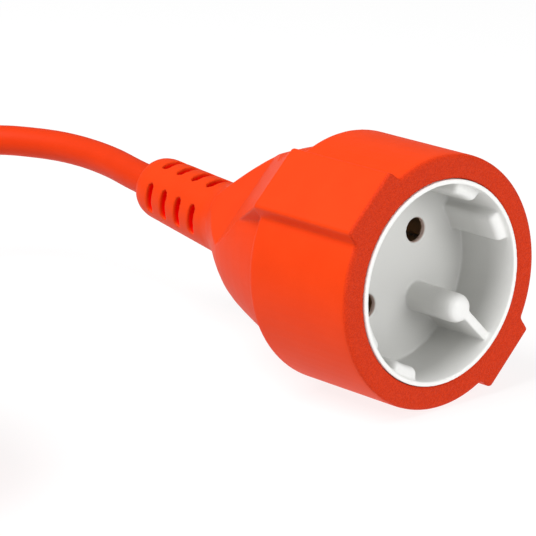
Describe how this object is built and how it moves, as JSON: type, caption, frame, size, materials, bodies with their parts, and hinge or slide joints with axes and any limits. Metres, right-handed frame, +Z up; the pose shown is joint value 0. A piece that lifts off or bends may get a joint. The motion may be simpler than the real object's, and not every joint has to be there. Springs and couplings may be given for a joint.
{
  "type": "extension cord",
  "caption": "Orange two-pole garden extension cord: moulded trailing socket with grey recessed insert, the cord tied in a flat hank with its round plug on top.",
  "frame": {"origin": "on the floor under the middle of the moulded socket (its cord, hank and plug left out)", "axes": "+Z up; the socket's axis lies along Y with its mouth facing -Y and the cord leaving at +Y"},
  "size_m": [0.1887, 0.1628, 0.0716],
  "materials": {
    "orange_pvc": "satin soft PVC",
    "grey_insert": "satin",
    "carrier_plastic": "matte",
    "cap_plastic": "matte",
    "brass": "bright",
    "spring_steel": "satin",
    "brown_insulation": "satin",
    "blue_insulation": "satin",
    "copper": "bright copper",
    "plug_core": "matte",
    "pin_nickel": "nickel plated",
    "tie_black": "satin"
  },
  "bodies": {
    "root": {"connector_overmould": "orange_pvc", "strain_relief_boot": "orange_pvc", "socket_insert": "grey_insert", "contact_carrier": "carrier_plastic", "rear_cap": "cap_plastic", "contact_sleeve_live": "brass", "contact_sleeve_neutral": "brass", "sleeve_spring_live": "spring_steel", "sleeve_spring_neutral": "spring_steel", "conductor_live": "brown_insulation", "conductor_neutral": "blue_insulation", "strands_live": "copper", "strands_neutral": "copper", "cord_lead": "orange_pvc", "cord_hank": "orange_pvc", "hank_tie_left": "tie_black", "hank_tie_right": "tie_black", "cord_tail": "orange_pvc", "plug_overmould": "orange_pvc", "plug_boot": "orange_pvc", "plug_bridge": "plug_core", "plug_pin_live": "pin_nickel", "plug_pin_neutral": "pin_nickel", "plug_conductor_live": "brown_insulation", "plug_conductor_neutral": "blue_insulation"}
  },
  "joints": []
}
